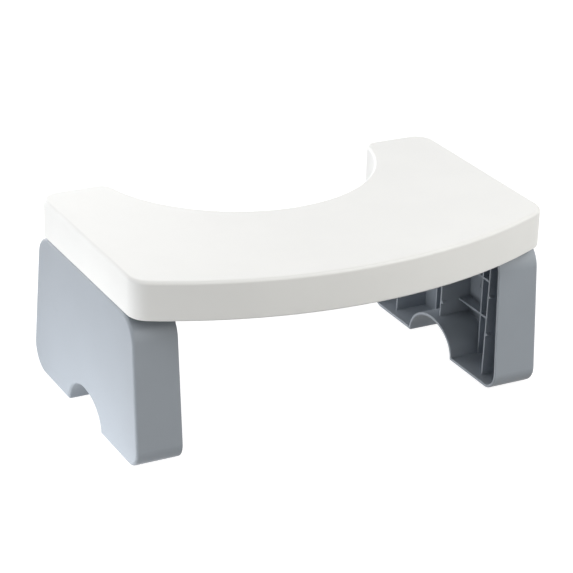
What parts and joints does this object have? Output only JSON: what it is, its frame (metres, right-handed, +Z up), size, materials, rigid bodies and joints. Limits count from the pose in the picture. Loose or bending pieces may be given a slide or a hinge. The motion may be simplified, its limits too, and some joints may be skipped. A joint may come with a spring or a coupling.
{
  "type": "toilet footstool",
  "caption": "Low crescent-shaped footstool that stands around the foot of a toilet, a moulded deck on hollow ribbed side legs that fold inwards under it.",
  "frame": {"origin": "on the floor, in the middle of the stool's overall length and depth", "axes": "+X along the length, to the right of someone who faces the cut-out from the front; +Y towards the back, where the toilet's cut-out opens; +Z up"},
  "size_m": [0.45, 0.3084, 0.1962],
  "materials": {
    "deck_white": "satin moulded",
    "leg_grey": "satin moulded",
    "pin_steel": "brushed",
    "pad_rubber": "matt"
  },
  "bodies": {
    "deck": {"deck": "deck_white", "left_front_hinge_pin": "pin_steel", "left_rear_hinge_pin": "pin_steel", "right_front_hinge_pin": "pin_steel", "right_rear_hinge_pin": "pin_steel"},
    "left_leg": {"left_leg": "leg_grey", "left_front_foot_pad": "pad_rubber", "left_rear_foot_pad": "pad_rubber"},
    "right_leg": {"right_leg": "leg_grey", "right_front_foot_pad": "pad_rubber", "right_rear_foot_pad": "pad_rubber"}
  },
  "joints": [
    {"name": "left_leg_fold", "type": "hinge", "parent": "deck", "child": "left_leg", "pos_m": [-0.185, 0, 0.1464], "axis": [0, -1, 0], "range_deg": [0, 90]},
    {"name": "right_leg_fold", "type": "hinge", "parent": "deck", "child": "right_leg", "pos_m": [0.185, 0, 0.1464], "axis": [0, 1, 0], "range_deg": [0, 90]}
  ]
}
